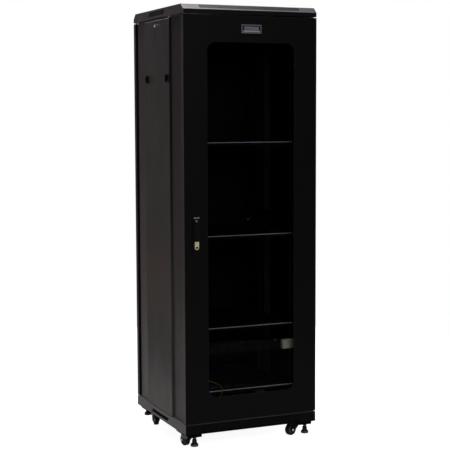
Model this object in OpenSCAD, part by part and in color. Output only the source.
// Floor-standing 19 inch network cabinet, 37 units high.
// Origin: centre of the footprint, on the floor. +Z up, front face towards -Y.

/* [Overall] */
// Overall width of doors, cover and base
body_w = 600; // [598:1:604]
// Overall depth of cover and base
body_d = 600; // [598:1:604]
// Height of the skirt's lower edge above the floor
skirt_z = 73; // [72:0.5:76]
// Height of the base skirt
base_h = 42; // [40:1:44]
// Height of the doors
door_h = 1671; // [1669:1:1673]
// Gap above and below the doors
door_gap = 4; // [3:0.5:5]
// Height of the cover's vertical skirt
cover_skirt = 18; // [16:1:20]
// Rise of the cover's front and rear bevels
cover_bevel = 21; // [19:1:23]
// Run of the cover's front and rear bevels
cover_run = 23; // [20:1:25]

/* [Sheet] */
// Thickness of doors, cover and panels
sheet = 1.5; // [1.2:0.1:1.8]
// Thickness of frame members
frame_t = 2; // [1.8:0.1:2]
// Distance of the frame's faces behind the cover's and base's faces
inset = 10; // [9.5:0.5:10.5]

/* [Front door] */
// Depth of the door's folded edge
door_t = 25; // [23:1:25]
// Width of the window
win_w = 393; // [380:1:400]
// Lower edge of the window
win_z0 = 222; // [215:1:230]
// Upper edge of the window
win_z1 = 1683; // [1670:1:1690]
// Corner radius of the window
win_r = 39; // [20:1:45]
// Glass thickness
glass_t = 5; // [4:0.5:6]

/* [Rack] */
// Height units
units = 37; // [34:1:37]
// Lower edge of the first unit
rail_z0 = 120; // [119:0.5:122]
// Height of one unit
u_pitch = 44.45; // [44.45:0.01:44.46]
// Horizontal distance between the two rows of mounting holes
row_gap = 465.1; // [464.6:0.1:465.6]
// Front face of the front rails
rail_y = -230; // [-232:1:-228]

/* [Side panel] */
// Front edge of the side panels
panel_y0 = -141; // [-143:1:-139]
// Rear edge of the side panels
panel_y1 = 157; // [155:1:159]

/* [Casters and feet] */
// Wheel radius
wheel_r = 25; // [24:0.5:25]
// Swivel axis, from the middle to the side
cast_x = 250; // [248:1:251]
// Swivel axis, from the middle to the front or rear
cast_y = 212; // [210:1:213]
// Trail of the wheel behind the swivel axis
trail = 30; // [28:1:30]
// Levelling foot axis, from the middle to the side
foot_x = 256; // [255:1:257]
// Levelling foot axis, from the middle to the front or rear
foot_y = 285; // [284:1:286]

/* [Hidden] */
$fn = 48;
hx = body_w / 2;
hy = body_d / 2;
base_z = skirt_z + base_h;
door_z0 = base_z + door_gap;
door_z1 = door_z0 + door_h;
cover_z0 = door_z1 + door_gap;
cover_z1 = cover_z0 + cover_skirt;
top_z = cover_z1 + cover_bevel;
ix = hx - inset;
post_y = 270;
// gap between the joined strips of a built-up member
seam = 0.05;
slope = atan2(cover_bevel, cover_run);
pin_r = 4;
hinge_x = hx - 8;
hinge_y = hy - 16;
panel_z0 = base_z + 3;
panel_z1 = 1788;
lock_z = 1762.5;
lock_y = (panel_y0 + panel_y1) / 2;
latch_z = 1541;
latch_f = -116;
latch_r = 123;
prot = 12.3;
handle_x = -249.5;
handle_z0 = 823.5;
handle_z1 = 975.5;
spin_z = 958;
plug_z = 850.5;
plug_dz = 24;
rdoor_z0 = door_z0;
rlock_x = 254;
stud_x = -175;
stud_y = -230;
shelf_zs = [1275.5, 886.5, 499, 231.5];
shelf_top_y = 225;
strip_z = rail_z0 + 6 * u_pitch;
fan_x = 112;
hole_steps = [6.35, 22.225, 38.1];
// cable entry and its slide
ent_x = 150;
ent_y0 = 110;
ent_y1 = 210;
// swivel heading of each caster, degrees
heads = [[-1, -1, 103], [1, -1, 194], [-1, 1, 262], [1, 1, 60]];
// route of the earth wire, from the rail to the base ledge
wire_pts = [[-234, -241, 300], [-234, -250, 300], [-228, -258, 298], [-212, -262, 294], [-190, -264, 288],
    [-165, -264, 279], [-142, -264, 268], [-126, -264, 255], [-120, -263, 241], [-122, -262, 226],
    [-131, -260, 210], [-144, -257, 192], [-157, -253, 172], [-168, -249, 150], [-174, -246, 134],
    [-175, -246, 125.4]];

// a flat shape drawn in X and Z, with its faces at Y = y0 and Y = y0 + t
module xz(y0, t) { translate([0, y0 + t, 0]) rotate([90, 0, 0]) linear_extrude(t) children(); }
// a flat shape drawn in Y and Z, with its faces at X = x0 and X = x0 + t
module yz(x0, t) { translate([x0, 0, 0]) rotate([90, 0, 90]) linear_extrude(t) children(); }
// a box given by its low and high corners
module bx(a, b) { translate(a) cube([b[0] - a[0], b[1] - a[1], b[2] - a[2]]); }
// a rectangle given by its low and high corners
module sq(a, b) { translate(a) square([b[0] - a[0], b[1] - a[1]]); }
// a rectangle with round corners
module rsq(a, b, r) {
    sq([a[0] + r, a[1]], [b[0] - r, b[1]]);
    sq([a[0], a[1] + r], [b[0], b[1] - r]);
    for (x = [a[0] + r, b[0] - r], y = [a[1] + r, b[1] - r]) translate([x, y]) circle(r = r);
}
// a cylinder along X or Y
module cx(r, x0, x1, y, z) { translate([x0, y, z]) rotate([0, 90, 0]) cylinder(r = r, h = x1 - x0); }
module cy(r, y0, y1, x, z) { translate([x, y0, z]) rotate([-90, 0, 0]) cylinder(r = r, h = y1 - y0); }
// left and right copies
module both() { children(); mirror([1, 0, 0]) children(); }
// height of mounting hole i, counted from the bottom
function hole_z(i) = rail_z0 + floor(i / 3) * u_pitch + hole_steps[i % 3];
// hole nearest below a height
function hole_i(z) = max([for (i = [0:3 * units - 1]) if (hole_z(i) < z) i]);

// ---------- base ----------
module side_cut(x0, ya, yb, yc, yd, z0, z1) {
    yz(x0, 8) polygon([[ya, z0], [yb, z0], [yd, z1], [yc, z1]]);
}
module base_frame() {
    color("#2b2b2d") difference() {
        union() {
            difference() {
                bx([-hx, -hy, skirt_z], [hx, hy, base_z]);
                bx([-hx + sheet, -hy + sheet, skirt_z + frame_t], [hx - sheet, hy - sheet, base_z - frame_t]);
                bx([-hx + 90, -hy + 62, base_z - 5], [hx - 90, hy - 62, base_z + 1]);
                bx([-hx + 20, -hy + 20, skirt_z - 1], [hx - 20, hy - 20, skirt_z + 5]);
            }
            // corner gussets and foot brackets
            for (sx = [-1, 1], sy = [-1, 1]) {
                bx([sx > 0 ? 205 : -hx + 1, sy > 0 ? 160 : -hy + 1, skirt_z],
                   [sx > 0 ? hx - 1 : -205, sy > 0 ? hy - 1 : -160, skirt_z + frame_t]);
                bx([sx > 0 ? 226 : -284, sy > 0 ? 252 : -294, skirt_z - 13],
                   [sx > 0 ? 284 : -226, sy > 0 ? 294 : -252, skirt_z]);
                // side stiffener next to the caster plate
                bx([sx > 0 ? 282 : -296, sy > 0 ? 180 : -262, skirt_z - 7],
                   [sx > 0 ? 296 : -282, sy > 0 ? 262 : -180, skirt_z]);
            }
        }
        // vent windows
        bx([-225, -hy - 1, skirt_z + 3.5], [225, -hy + 3, base_z - 6]);
        bx([-225, hy - 3, skirt_z + 3.5], [225, hy + 1, base_z - 6]);
        side_cut(-hx - 2, -85, 109, -102, 96, 84, 99.5);
        side_cut(hx - 6, -85, 109, -102, 96, 84, 99.5);
        // hinge pin bores
        translate([hinge_x, -hinge_y, base_z - 5]) cylinder(r = pin_r + 0.05, h = 10);
        translate([-hinge_x, hinge_y, base_z - 5]) cylinder(r = pin_r + 0.05, h = 10);
        // foot stem bores
        for (sx = [-1, 1], sy = [-1, 1]) translate([sx * foot_x, sy * foot_y, skirt_z - 14]) cylinder(r = 4.05, h = 22);
    }
}
module slot_field(x0, x1, z0, z1, pitch, w) {
    n = floor((x1 - x0 - w) / pitch);
    off = ((x1 - x0) - n * pitch - w) / 2;
    for (i = [0:n]) sq([x0 + off + i * pitch, z0], [x0 + off + i * pitch + w, z1]);
}
module base_vents() {
    color("#1d1d1f") {
        for (y = [-hy + sheet, hy - sheet - 1]) xz(y, 1) difference() {
            sq([-235, skirt_z + frame_t], [235, base_z - frame_t]);
            slot_field(-222, 222, skirt_z + 6, base_z - 8, 8, 4.5);
        }
        for (x = [-hx + sheet, hx - sheet - 1]) yz(x, 1) difference() {
            sq([-115, skirt_z + frame_t], [120, base_z - frame_t]);
            slot_field(-98, 104, 86, 97.5, 8, 4.5);
        }
        // filter pads behind the sheets
        for (y = [-hy + sheet + 1.3, hy - sheet - 4.3]) xz(y, 3) sq([-230, skirt_z + 3], [230, base_z - 3]);
        for (x = [-hx + sheet + 1.3, hx - sheet - 4.3]) yz(x, 3) sq([-112, skirt_z + 3], [118, base_z - 3]);
    }
}
module floor_panel() {
    color("#2f2f31") {
        difference() {
            union() {
                bx([-216, -246, base_z], [216, 246, base_z + 1.5]);
                // raised rims around the cable entry
                for (s = [-1, 1]) translate([s * (ent_x + 18), 0, 0]) {
                    bx([-3, 20, base_z + 1], [3, ent_y1 + 12, base_z + 3.6]);
                    bx([s > 0 ? -9 : -3, 20, base_z + 3.6], [s > 0 ? 3 : 9, ent_y1 + 12, base_z + 5.1]);
                }
            }
            bx([-ent_x, ent_y0, base_z - 5], [ent_x, ent_y1, base_z + 20]);
            // earth stud hole
            translate([stud_x, stud_y, base_z - 5]) cylinder(r = 2.2, h = 20);
        }
    }
}
module cable_slide() {
    color("#39393b") {
        bx([-ent_x - 14, 40, base_z + 1.7], [ent_x + 14, 170, base_z + 3.2]);
        bx([-30, 160, base_z + 3.2], [30, 162, base_z + 14]);
    }
}

// ---------- frame ----------
module post2d(yp, s) {
    // side leg, flange beside the door and inner lip: three strips
    // s = 1 rear, -1 front; yp is the end of the side leg
    sq([-ix, s > 0 ? yp : -post_y + frame_t + seam], [-ix + frame_t, s > 0 ? post_y - frame_t - seam : yp]);
    sq([-ix, s > 0 ? post_y - frame_t : -post_y], [-268, s > 0 ? post_y : -post_y + frame_t]);
    sq([-ix + frame_t + seam, s > 0 ? yp : yp - frame_t], [-262, s > 0 ? yp + frame_t : yp]);
}
module corner_posts() {
    color("#2b2b2d") both() {
        translate([0, 0, base_z]) linear_extrude(1792 - base_z) post2d(-118, -1);
        translate([0, 0, base_z]) linear_extrude(1792 - base_z) post2d(134, 1);
    }
}
module top_frame() {
    color("#2b2b2d") difference() {
        union() {
            bx([-ix, -post_y, 1792], [ix, post_y, 1794]);
            // inner stiffening walls
            for (s = [-1, 1]) {
                bx([s > 0 ? 243 : -245, -230, 1764], [s > 0 ? 245 : -243, 230, 1793]);
                bx([-240, s > 0 ? 232 : -234, 1774], [240, s > 0 ? 234 : -232, 1793]);
            }
            // hinge lugs, hidden in the cover's skirt
            bx([258, -297, 1794], [298, -238, 1797.5]);
            bx([-298, 238, 1794], [-258, 297, 1797.5]);
        }
        bx([-239, -224, 1780], [239, 224, 1800]);
        translate([hinge_x, -hinge_y, 1780]) cylinder(r = pin_r + 0.05, h = 30);
        translate([-hinge_x, hinge_y, 1780]) cylinder(r = pin_r + 0.05, h = 30);
    }
}
module rail_one(front) {
    // left rail; front ones face -Y
    y0 = front ? rail_y : 208;
    xz(y0, frame_t) difference() {
        sq([-243, 117], [-225, 1763]);
        for (i = [0:3 * units - 1]) translate([-row_gap / 2, hole_z(i)]) square([9.5, 9.5], center = true);
    }
    bx([-243, front ? y0 + frame_t + seam : y0 - 38, 117], [-241, front ? y0 + 40 : y0 - seam, 1763]);
}
module mounting_rails() { color("#3a3a3c") both() { rail_one(true); rail_one(false); } }
module rail_brackets() {
    // channels: a web and two flanges
    color("#303032") both() for (z = [150, 940, 1720]) {
        bx([-262, -205, z - 20], [-260, 200, z + 20]);
        for (s = [-1, 1]) bx([-260 + seam, -205, s > 0 ? z + 18 : z - 20], [-243, 200, s > 0 ? z + 20 : z - 18]);
    }
}
module cage_nut(x, y, z, s) {
    // s = -1 when the screw enters from -Y
    difference() {
        union() {
            xz(s < 0 ? y : y - 2, 2) translate([x, z]) square([9.3, 9.3], center = true);
            xz(s < 0 ? y + 2 : y - 7, 5) translate([x, z]) square([12, 12], center = true);
        }
        cy(2.5, y - 20, y + 20, x, z);
    }
}
free_lo = hole_z(3 * 33);
free_hi = hole_z(3 * 34 + 2);
shelf_hole = [for (z = shelf_zs) hole_z(hole_i(z - 6.5))];
strip_holes = [strip_z + hole_steps[0], strip_z + hole_steps[2]];
module cage_nuts() {
    color("#c9cacc") both() {
        for (z = [free_lo, free_hi]) cage_nut(-row_gap / 2, rail_y, z, -1);
        for (z = shelf_hole) { cage_nut(-row_gap / 2, rail_y, z, -1); cage_nut(-row_gap / 2, 210, z, 1); }
        for (z = strip_holes) cage_nut(-row_gap / 2, rail_y, z, -1);
    }
}
module shelf_one(z, zh) {
    difference() {
        union() {
            bx([-222, rail_y - 2, z - sheet], [222, shelf_top_y, z]);
            bx([-222, rail_y - 2, z - 14], [222, rail_y - 0.5, z]);
            bx([-222, shelf_top_y - sheet, z - 14], [222, shelf_top_y, z]);
            for (s = [-1, 1]) {
                bx([s > 0 ? 220.5 : -222, rail_y - 2, z - 26], [s > 0 ? 222 : -220.5, shelf_top_y, z]);
                xz(rail_y - 1.5, 1.5) sq([s > 0 ? 221 : -242, z - 30], [s > 0 ? 242 : -221, z + 4]);
                xz(210, 1.5) sq([s > 0 ? 221 : -242, z - 30], [s > 0 ? 242 : -221, z + 4]);
            }
        }
        for (s = [-1, 1]) {
            cy(3.3, rail_y - 3, rail_y + 1, s * row_gap / 2, zh);
            cy(3.3, 208, 213, s * row_gap / 2, zh);
        }
        translate([0, 0, z - 4]) linear_extrude(8)
            for (x = [-180:60:180], y = [-170:60:190]) sq([x - 22, y - 5], [x + 22, y + 5]);
    }
}
module shelves() { color("#242426") for (i = [0:3]) shelf_one(shelf_zs[i], shelf_hole[i]); }
module screw_y(x, y, z, s, len) {
    // pan head outside at y, shank towards -s
    cy(5, s < 0 ? y - 3.4 : y, s < 0 ? y : y + 3.4, x, z);
    cy(2.45, s < 0 ? y - 1 : y - len, s < 0 ? y + len : y + 1, x, z);
}
module screws() {
    color("#b9babd") {
        both() {
            for (z = shelf_hole) {
                screw_y(-row_gap / 2, rail_y - 1.5, z, -1, 10);
                screw_y(-row_gap / 2, 211.5, z, 1, 10);
            }
            for (z = strip_holes) screw_y(-row_gap / 2, rail_y - 1.5, z, -1, 10);
        }
        // earth studs, with hexagon nuts
        translate([stud_x, stud_y, base_z - 3]) cylinder(r = 2.15, h = 16);
        translate([stud_x, stud_y, base_z + 1.5]) cylinder(r = 4.6, h = 4, $fn = 6);
        translate([stud_x, stud_y, base_z + 7.2]) cylinder(r = 4.6, h = 4, $fn = 6);
    }
}

// ---------- cover ----------
module cover_profile(o) {
    k = o * tan(slope / 2);
    polygon([[-hy + o, cover_z0 - (o > 0 ? 1 : 0)], [-hy + o, cover_z1 - k], [-hy + cover_run + k, top_z - o],
             [hy - cover_run - k, top_z - o], [hy - o, cover_z1 - k], [hy - o, cover_z0 - (o > 0 ? 1 : 0)]]);
}
module bevel_frame(s) {
    // local x along X, y up the slope, z outwards
    rotate([0, 0, s > 0 ? 180 : 0]) translate([0, -hy, cover_z1]) rotate([slope, 0, 0]) children();
}
bev_len = sqrt(cover_run * cover_run + cover_bevel * cover_bevel);
module top_cover() {
    color("#8d8f97") difference() {
        union() {
            difference() {
                yz(-hx, body_w) cover_profile(0);
                yz(-hx + sheet, body_w - 2 * sheet) cover_profile(sheet);
            }
            // standoffs down to the top frame
            for (sx = [-1, 1], sy = [-1, 1]) translate([sx * 266, sy * 190, cover_z0]) cylinder(r = 8, h = top_z - cover_z0 - 1);
        }
        for (s = [-1, 1]) bevel_frame(s) translate([-227, 7, -6]) cube([454, bev_len - 10, 9]);
        side_cut(-hx - 2, -78, 109, -97, 93, 1804, 1825);
        side_cut(hx - 6, -78, 109, -97, 93, 1804, 1825);
    }
}
module cover_vents() {
    color("#6d6f76") {
        for (s = [-1, 1]) bevel_frame(s) translate([0, 0, -sheet - 1]) linear_extrude(1) difference() {
            sq([-233, 2.5], [233, bev_len - 1.5]);
            for (j = [0:1], i = [0:48]) translate([-220 + i * 9 + j * 4.5, 12.2 + j * 8]) circle(r = 3.6, $fn = 6);
        }
        for (x = [-hx + sheet, hx - sheet - 1]) yz(x, 1) difference() {
            sq([-104, 1800], [116, 1829]);
            for (j = [0:1], i = [0:19]) translate([-77 + i * 9 - j * 5, 1810.5 + j * 8]) circle(r = 3.6, $fn = 6);
        }
    }
}
module fan_tray() {
    color("#2f2f31") difference() {
        bx([-239, -223, 1792.5], [239, 223, 1794]);
        for (s = [-1, 1]) translate([s * fan_x, 0, 1780]) cylinder(r = 57, h = 30);
    }
}
module fan_frames() {
    color("#19191a") for (s = [-1, 1]) translate([s * fan_x, 0, 1767.5]) difference() {
        union() {
            difference() {
                union() {
                    translate([-60, -60, 0]) cube([120, 120, 3]);
                    translate([-60, -60, 22]) cube([120, 120, 3]);
                    cylinder(r = 59.5, h = 25);
                }
                translate([0, 0, -1]) cylinder(r = 57, h = 27);
            }
            cylinder(r = 18, h = 3);
            for (a = [45:90:315]) rotate([0, 0, a]) translate([0, -3, 0]) cube([58, 6, 3]);
            cylinder(r = 3, h = 16);
        }
        for (x = [-52, 52], y = [-52, 52]) translate([x, y, -1]) cylinder(r = 2.2, h = 40);
    }
}
module fan_guards() {
    color("#b5b6ba") for (s = [-1, 1]) translate([s * fan_x, 0, 1794]) {
        for (r = [16, 28, 40, 52]) rotate_extrude() translate([r, 1.4]) square([1.6, 1.6]);
        for (a = [0:60:120]) rotate([0, 0, a]) translate([-60, -0.9, 0]) cube([120, 1.8, 1.8]);
    }
}
module fan_rotor(s) {
    color("#222223") translate([s * fan_x, 0, 1767.5]) difference() {
        union() {
            translate([0, 0, 4]) cylinder(r = 19, h = 17);
            for (a = [0:360 / 7:359]) rotate([0, 0, a]) translate([17, 0, 12.5]) rotate([32, 0, 0])
                translate([0, -12, -0.8]) cube([37, 24, 1.6]);
        }
        translate([0, 0, -1]) cylinder(r = 3.05, h = 18);
        translate([0, 0, 3]) cylinder(r = 16, h = 3);
    }
}
module fan_rotor_left() { fan_rotor(-1); }
module fan_rotor_right() { fan_rotor(1); }

// ---------- power strip and earth wire ----------
module power_strip() {
    color("#2a2a2c") {
        difference() {
            union() {
                bx([-221, rail_y - 2, strip_z + 1], [221, rail_y + 40, strip_z + 43.5]);
                xz(rail_y - 1.5, 1.5) sq([-242, strip_z + 0.5], [242, strip_z + 44]);
            }
            for (s = [-1, 1], z = strip_holes) cy(3.3, rail_y - 4, rail_y + 2, s * row_gap / 2, z);
            for (x = [-190:46:132]) xz(rail_y - 4, 14) rsq([x - 18.5, strip_z + 3.5], [x + 18.5, strip_z + 38.4], 4);
            bx([168, rail_y - 4, strip_z + 3], [219, rail_y + 10, strip_z + 41.5]);
        }
        // end screws of the strip's extrusion
        for (x = [-102, -24, 54, 132]) cy(2.2, rail_y - 3.4, rail_y - 1, x + 9, strip_z + 41.8);
    }
}
module power_sockets() {
    color("#d9d4c4") {
        for (x = [-190:46:132]) difference() {
            xz(rail_y - 3, 12.8) rsq([x - 18.3, strip_z + 3.7], [x + 18.3, strip_z + 38.2], 3.8);
            for (dx = [-6.5, 6.5]) bx([x + dx - 1.1, rail_y - 4, strip_z + 21], [x + dx + 1.1, rail_y + 4, strip_z + 28]);
            bx([x - 1.2, rail_y - 4, strip_z + 9.5], [x + 1.2, rail_y + 4, strip_z + 16.5]);
        }
        bx([168.3, rail_y - 20, strip_z + 3.3], [218.7, rail_y + 9.8, strip_z + 41.2]);
    }
}
function vsub(a, b) = [a[0] - b[0], a[1] - b[1], a[2] - b[2]];
function unit(v) = v / norm(v);
module earth_wire() {
    n = len(wire_pts);
    m = 8;
    r = 2;
    // reference vector for the rings
    ref = [0.3, -0.95, 0.1];
    pts = [for (i = [0:n - 1]) let (
        t = unit(vsub(wire_pts[min(i + 1, n - 1)], wire_pts[max(i - 1, 0)])),
        a = unit(cross(t, i < 3 ? [0.1, 0.2, 1] : ref)),
        b = cross(t, a))
        for (k = [0:m - 1]) wire_pts[i] + r * (cos(360 * k / m) * a + sin(360 * k / m) * b)];
    faces = concat(
        [[for (k = [0:m - 1]) k]],
        [for (i = [0:n - 2], k = [0:m - 1]) [i * m + k, (i + 1) * m + k, (i + 1) * m + (k + 1) % m, i * m + (k + 1) % m]],
        [[for (k = [m - 1:-1:0]) (n - 1) * m + k]]);
    color("#8f8a2e") {
        polyhedron(points = pts, faces = faces);
        // ring lugs at both ends
        cy(5, -242, rail_y, -234, 300);
        translate([stud_x, -246, base_z + 5.6]) difference() {
            union() { cylinder(r = 3.6, h = 5); translate([-3.5, 0, 0]) cube([7, 20, 1.5]); }
            translate([0, stud_y + 246, -1]) cylinder(r = 2.2, h = 4);
        }
    }
}

// ---------- front door ----------
module win2d(g) { rsq([-win_w / 2 - g, win_z0 - g], [win_w / 2 + g, win_z1 + g], win_r + g); }
module front_door() {
    color("#1b1b1c") difference() {
        union() {
            // skin
            xz(-hy, sheet) difference() { sq([-hx, door_z0], [hx, door_z1]); win2d(0); }
            // folded outer edge
            xz(-hy, door_t) difference() {
                sq([-hx, door_z0], [hx, door_z1]);
                sq([-hx + sheet, door_z0 + sheet], [hx - sheet, door_z1 - sheet]);
            }
            // rear flange and the box section around the window
            xz(-hy + door_t - sheet, sheet) difference() { sq([-hx, door_z0], [hx, door_z1]); win2d(14); }
            xz(-hy + 1, door_t - 1) difference() { win2d(14 + sheet); win2d(14); }
            // hinge blocks
            bx([hinge_x - 12, -hy + 1, door_z1 - 16], [hx - 1, -hy + door_t - 1, door_z1 - 0.5]);
            bx([hinge_x - 12, -hy + 1, door_z0 + 0.5], [hx - 1, -hy + door_t - 1, door_z0 + 16]);
        }
        translate([hinge_x, -hinge_y, door_z1 - 14]) cylinder(r = pin_r, h = 20);
        translate([hinge_x, -hinge_y, door_z0 - 6]) cylinder(r = pin_r, h = 20);
        // spindle and lock holes
        cy(9, -hy - 1, -hy + door_t + 1, handle_x, spin_z);
        cy(7.2, -hy - 1, -hy + door_t + 1, handle_x, plug_z);
    }
}
module front_hinge_pins() {
    color("#c8b06a") {
        translate([hinge_x, -hinge_y, door_z1 - 14]) cylinder(r = pin_r, h = 1798 - door_z1 + 14);
        translate([hinge_x, -hinge_y, base_z - 4]) cylinder(r = pin_r, h = door_z0 + 14 - base_z + 4);
    }
}
module glass_gasket() {
    color("#101011") xz(-hy + sheet, 1.5) difference() { win2d(11); win2d(-0.8); }
}
module door_glass() {
    color([0.08, 0.09, 0.10, 0.45]) xz(-hy + sheet + 1.5, glass_t) win2d(11);
}
module badge_plate() {
    color("#7d7e82") difference() {
        xz(-hy - 2.6, 2.6) rsq([-44, 1720], [44, 1754.5], 2);
        xz(-hy - 3.6, 2) rsq([-41.2, 1722.8], [41.2, 1751.7], 1);
    }
    color("#2a2a2c") {
        xz(-hy - 2.3, 0.8) sq([-37, 1725], [37, 1731.5]);
        for (z = [1735:4.5:1746]) xz(-hy - 2.3, 0.8) sq([-33, z], [33, z + 2.2]);
    }
}
module handle_base() {
    color("#202022") xz(-hy - 8 - seam, 4) rsq([handle_x - 13, 970], [handle_x + 13, 974.5], 2);
    color("#202022") difference() {
        union() {
            xz(-hy - 4, 4) rsq([handle_x - 16.5, handle_z0], [handle_x + 16.5, handle_z1], 5);
            // spigots through the door
            cy(8.9, -hy - 1, -hy + door_t + 2, handle_x, spin_z);
            cy(7.1, -hy - 1, -hy + 12, handle_x, plug_z);
        }
        cy(6.55, -hy - 10, -hy + door_t + 5, handle_x, spin_z);
        cy(5.55, -hy - 10, -hy + 20, handle_x, plug_z);
    }
}
module lock_housing() {
    color("#cfc6a4") difference() {
        union() {
            xz(-hy - 11.5, 7.5) sq([handle_x - 8.5, plug_z], [handle_x + 8.5, plug_z + plug_dz]);
            cy(8.5, -hy - 11.5, -hy - 4, handle_x, plug_z);
        }
        cy(5.55, -hy - 13, -hy - 3, handle_x, plug_z);
    }
}
module key_plug() {
    color("#d8d2b8") difference() {
        cy(5.5, -hy - prot, -hy + 10, handle_x, plug_z);
        bx([handle_x - 0.7, -hy - prot - 1, plug_z - 3.6], [handle_x + 0.7, -hy - prot + 3, plug_z + 3.6]);
    }
}
module handle_cam() {
    // spindle with the lever's pivot in front and the cam behind
    color("#8c8d90") {
        cy(6.5, -hy - 4.1, -266, handle_x, spin_z);
        bx([handle_x - 3, -hy - 10.5, spin_z - 5], [handle_x + 3, -hy - 4, spin_z + 3]);
        cx(2, handle_x - 9, handle_x + 9, -hy - 7.5, spin_z);
        xz(-266, 3) { rsq([handle_x - 7, spin_z - 8], [handle_x + 7, spin_z + 36], 4); }
    }
}
module handle_lever() {
    color("#2a2a2c") difference() {
        union() {
            bx([handle_x - 10, -hy - 10.8, 877], [handle_x + 10, -hy - 4.2, spin_z]);
            cx(3.3, handle_x - 10, handle_x + 10, -hy - 7.5, spin_z);
        }
        cx(2.05, handle_x - 11, handle_x + 11, -hy - 7.5, spin_z);
        bx([handle_x - 3.3, -hy - 13, spin_z - 12], [handle_x + 3.3, -hy, spin_z + 12]);
        // hollow back
        bx([handle_x - 7, -hy - 8.5, 882], [handle_x + 7, -hy, spin_z - 15]);
    }
}

// ---------- rear door ----------
module rear_door() {
    color("#232325") difference() {
        union() {
            xz(hy - sheet, sheet) sq([-hx, rdoor_z0], [hx, door_z1]);
            xz(hy - door_t, door_t) difference() {
                sq([-hx, rdoor_z0], [hx, door_z1]);
                sq([-hx + sheet, rdoor_z0 + sheet], [hx - sheet, door_z1 - sheet]);
            }
            xz(hy - door_t, sheet) difference() {
                sq([-hx, rdoor_z0], [hx, door_z1]);
                sq([-hx + 24, rdoor_z0 + 24], [hx - 24, door_z1 - 24]);
            }
            bx([-hx + 1, hy - door_t + 1, door_z1 - 16], [-hinge_x + 12, hy - 1, door_z1 - 0.5]);
            bx([-hx + 1, hy - door_t + 1, rdoor_z0 + 0.5], [-hinge_x + 12, hy - 1, rdoor_z0 + 16]);
            // stiffener
            bx([-hx + 20, hy - 16, 950], [hx - 70, hy - 1, 952]);
            bx([-hx + 20, hy - 16, 950], [hx - 70, hy - 14.5, 980]);
            bx([-hx + 20, hy - 16, 978], [hx - 70, hy - 1, 980]);
        }
        translate([-hinge_x, hinge_y, door_z1 - 14]) cylinder(r = pin_r, h = 20);
        translate([-hinge_x, hinge_y, rdoor_z0 - 6]) cylinder(r = pin_r, h = 20);
        cy(8.55, hy - 10, hy + 1, rlock_x, 900);
    }
}
module rear_hinge_pins() {
    color("#c8b06a") {
        translate([-hinge_x, hinge_y, door_z1 - 14]) cylinder(r = pin_r, h = 1798 - door_z1 + 14);
        translate([-hinge_x, hinge_y, base_z - 4]) cylinder(r = pin_r, h = rdoor_z0 + 14 - base_z + 4);
    }
}
module rear_lock_body() {
    color("#b9babd") difference() {
        union() { cy(11, hy, hy + 10.5, rlock_x, 900); cy(8.5, hy - 20, hy + 1, rlock_x, 900); }
        cy(6.05, hy - 25, hy + 20, rlock_x, 900);
    }
}
module rear_lock_plug() {
    color("#d0d1d4") difference() {
        union() {
            cy(6, hy - 36, hy + prot, rlock_x, 900);
            xz(hy - 37, 2.5) rsq([rlock_x - 6, 869], [rlock_x + 6, 908], 4);
        }
        bx([rlock_x - 0.7, hy + prot - 3, 896.4], [rlock_x + 0.7, hy + prot + 1, 903.6]);
    }
}

// ---------- side panels ----------
module panel_left() {
    difference() {
        yz(-hx, inset - 0.3) polygon([[panel_y0, panel_z0], [panel_y1, panel_z0], [panel_y1, panel_z1], [panel_y0, panel_z1]]);
        bx([-hx + 1.2, panel_y0 + 1.2, panel_z0 + 1.2], [-ix + 1, panel_y1 - 1.2, panel_z1 - 4]);
        // sloping top lip
        translate([-hx, 0, panel_z1]) rotate([0, 45, 0]) translate([-4, panel_y0 - 1, -8]) cube([6, panel_y1 - panel_y0 + 2, 16]);
        // lock hole and latch openings
        cx(8.55, -hx - 1, -hx + 3, lock_y, lock_z);
        for (y = [latch_f, latch_r]) yz(-hx - 1, 4) sq([y - 17, latch_z - 14.5], [y + 17, latch_z + 14.5]);
    }
}
module side_panel_left() { color("#4a4746") panel_left(); }
module side_panel_right() { color("#4a4746") mirror([1, 0, 0]) panel_left(); }
module latch_cup(y, s) {
    // s = direction of the bolt along Y
    difference() {
        union() {
            yz(-hx - 4, 4) rsq([y - 19, latch_z - 16.5], [y + 19, latch_z + 16.5], 3);
            yz(-hx - 0.5, inset) sq([y - 16.8, latch_z - 14.3], [y + 16.8, latch_z + 14.3]);
        }
        yz(-hx - 5, inset + 3.2) sq([y - 14.5, latch_z - 12], [y + 14.5, latch_z + 12]);
        bx([-hx + 3.4, s > 0 ? y : y - 30, latch_z - 4.2], [-hx + 7.2, s > 0 ? y + 30 : y, latch_z + 4.2]);
    }
}
module fittings_left() {
    latch_cup(latch_f, -1);
    latch_cup(latch_r, 1);
    difference() {
        union() { cx(10, -hx - 8, -hx, lock_y, lock_z); cx(8.5, -hx - 1, -hx + 18, lock_y, lock_z); }
        cx(6.05, -hx - 20, -hx + 30, lock_y, lock_z);
    }
}
module panel_fittings_left() { color("#8d8e92") fittings_left(); }
module panel_fittings_right() { color("#8d8e92") mirror([1, 0, 0]) fittings_left(); }
module plug_left() {
    difference() {
        union() {
            cx(6, -hx - 9, -hx + 20, lock_y, lock_z);
            yz(-hx + 19, 2.5) rsq([lock_y - 7, lock_z - 7], [lock_y + 26, lock_z + 7], 4);
        }
        bx([-hx - 10, lock_y - 0.7, lock_z - 3.6], [-hx - 6, lock_y + 0.7, lock_z + 3.6]);
    }
}
module panel_plug_left() { color("#d0d1d4") plug_left(); }
module panel_plug_right() { color("#d0d1d4") mirror([1, 0, 0]) plug_left(); }
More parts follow.
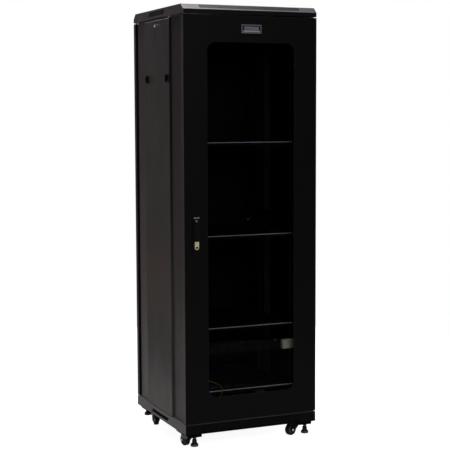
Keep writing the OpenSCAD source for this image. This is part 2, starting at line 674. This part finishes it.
module slide_left(y, s) {
    // grip plate in the cup, with the bolt nose through the cup's wall
    bx([-hx - 1, s < 0 ? y - 14.2 : y + 6.2, latch_z - 11.5], [-hx + 3, s < 0 ? y - 6.2 : y + 14.2, latch_z + 11.5]);
    bx([-hx + 2.5, s < 0 ? y - 14.2 : y + 6.2, latch_z - 4], [-hx + 7, s < 0 ? y - 6.2 : y + 14.2, latch_z + 4]);
    bx([-hx + 3.6, s < 0 ? y - 22.5 : y + 10, latch_z - 4], [-hx + 7, s < 0 ? y - 10 : y + 22.5, latch_z + 4]);
}
module latch_slide_lf() { color("#161617") slide_left(latch_f, -1); }
module latch_slide_lr() { color("#161617") slide_left(latch_r, 1); }
module latch_slide_rf() { color("#161617") mirror([1, 0, 0]) slide_left(latch_f, -1); }
module latch_slide_rr() { color("#161617") mirror([1, 0, 0]) slide_left(latch_r, 1); }

// ---------- casters and feet ----------
module at_caster(i) {
    h = heads[i];
    translate([h[0] * cast_x, h[1] * cast_y, 0]) rotate([0, 0, h[2]]) children();
}
crown_z = skirt_z - 19.4;
module caster_plates() {
    color("#6f7073") for (h = heads) translate([h[0] * cast_x, h[1] * cast_y, 0]) {
        difference() {
            translate([-30, -27, skirt_z - 3]) cube([60, 54, 3]);
            for (x = [-22, 22], y = [-20, 20]) translate([x, y, skirt_z - 9]) cylinder(r = 3.2, h = 12);
        }
        translate([0, 0, skirt_z - 5.2]) cylinder(r = 17, h = 3);
        translate([0, 0, crown_z - 2]) cylinder(r = 5, h = 18);
        translate([0, 0, crown_z - 2.2]) cylinder(r = 8, h = 2);
        // mounting bolts
        for (x = [-22, 22], y = [-20, 20]) translate([x, y, skirt_z - 6.5]) {
            cylinder(r = 4.6, h = 3.5, $fn = 6);
            cylinder(r = 2.4, h = 6.5);
        }
    }
}
module fork() {
    difference() {
        union() {
            translate([0, 0, crown_z]) cylinder(r = 19, h = 13.8);
            // legs
            for (s = [-1, 1]) translate([0, s > 0 ? 14.5 : -12, 0]) rotate([90, 0, 0]) linear_extrude(2.5)
                polygon([[-15, crown_z + 10], [-15, crown_z - 4], [trail - 9, 16], [trail - 2, 14.5], [trail + 6, 16], [trail + 9, 25],
                         [trail + 10, crown_z + 2], [15, crown_z + 10]]);
            // axle with its nuts
            translate([trail, 0, wheel_r]) rotate([90, 0, 0]) cylinder(r = 3, h = 34, center = true);
            for (s = [-1, 1]) translate([trail, s * 16, wheel_r]) rotate([90, 0, 0]) cylinder(r = 5.4, h = 3.4, center = true, $fn = 6);
        }
        translate([0, 0, crown_z - 5]) cylinder(r = 5.05, h = 30);
        translate([0, 0, crown_z - 5]) cylinder(r = 8.6, h = 5.3);
    }
}
module fork_with_pin() {
    fork();
    // pivot of the brake pedal
    translate([27, 0, 54.5]) rotate([90, 0, 0]) cylinder(r = 2, h = 27, center = true);
}
module caster_fork_fl() { color("#232324") at_caster(0) fork_with_pin(); }
module caster_fork_fr() { color("#232324") at_caster(1) fork_with_pin(); }
module caster_fork_rl() { color("#232324") at_caster(2) fork(); }
module caster_fork_rr() { color("#232324") at_caster(3) fork(); }
module wheel() {
    translate([trail, 0, wheel_r]) rotate([90, 0, 0]) rotate_extrude() polygon([
        [3.05, -11.5], [7, -11.5], [7.5, -6], [16, -6], [17, -8.5], [19, -9.2], [22.2, -9.2], [24.2, -7.6], [wheel_r, -4],
        [wheel_r, 4], [24.2, 7.6], [22.2, 9.2], [19, 9.2], [17, 8.5], [16, 6], [7.5, 6], [7, 11.5], [3.05, 11.5]]);
}
module caster_wheel_fl() { color("#151515") at_caster(0) wheel(); }
module caster_wheel_fr() { color("#151515") at_caster(1) wheel(); }
module caster_wheel_rl() { color("#151515") at_caster(2) wheel(); }
module caster_wheel_rr() { color("#151515") at_caster(3) wheel(); }
module pedal() {
    difference() {
        union() {
            translate([27, 0, 54.5]) rotate([90, 0, 0]) cylinder(r = 3.6, h = 22, center = true);
            translate([27, -10, 55.8]) cube([29, 20, 2.2]);
            translate([54, -10, 53.2]) cube([2.2, 20, 4.8]);
        }
        translate([27, 0, 54.5]) rotate([90, 0, 0]) cylinder(r = 2.05, h = 40, center = true);
        // room for the crown
        translate([0, 0, 40]) cylinder(r = 19.3, h = 40);
    }
}
module brake_pedal_fl() { color("#9a9a9c") at_caster(0) pedal(); }
module brake_pedal_fr() { color("#9a9a9c") at_caster(1) pedal(); }
module foot() {
    // pad, bell, lock nut and threaded stem
    rotate_extrude() polygon([[0, 22], [15.5, 22], [16.5, 23.5], [16.5, 30], [15, 32.5], [11.5, 35.5], [10.2, 38], [9.8, 49], [8.5, 51],
                              [6.2, 52.5], [5.4, 53.5], [5.4, 55], [8.4, 55.4], [8.8, 56], [8.8, 58.6], [8.4, 59.2], [4, 59.4], [4, 102],
                              [0, 102]]);
}
module foot_fl() { color("#161616") translate([-foot_x, -foot_y, 0]) foot(); }
module foot_fr() { color("#161616") translate([foot_x, -foot_y, 0]) foot(); }
module foot_rl() { color("#161616") translate([-foot_x, foot_y, 0]) foot(); }
module foot_rr() { color("#161616") translate([foot_x, foot_y, 0]) foot(); }

base_frame();
base_vents();
floor_panel();
cable_slide();
corner_posts();
top_frame();
mounting_rails();
rail_brackets();
cage_nuts();
shelves();
screws();
top_cover();
cover_vents();
fan_tray();
fan_frames();
fan_guards();
fan_rotor_left();
fan_rotor_right();
power_strip();
power_sockets();
earth_wire();
front_door();
door_glass();
glass_gasket();
front_hinge_pins();
badge_plate();
handle_base();
lock_housing();
handle_lever();
handle_cam();
key_plug();
rear_door();
rear_hinge_pins();
rear_lock_body();
rear_lock_plug();
side_panel_left();
side_panel_right();
panel_fittings_left();
panel_fittings_right();
panel_plug_left();
panel_plug_right();
latch_slide_lf();
latch_slide_lr();
latch_slide_rf();
latch_slide_rr();
caster_plates();
caster_fork_fl();
caster_fork_fr();
caster_fork_rl();
caster_fork_rr();
caster_wheel_fl();
caster_wheel_fr();
caster_wheel_rl();
caster_wheel_rr();
brake_pedal_fl();
brake_pedal_fr();
foot_fl();
foot_fr();
foot_rl();
foot_rr();
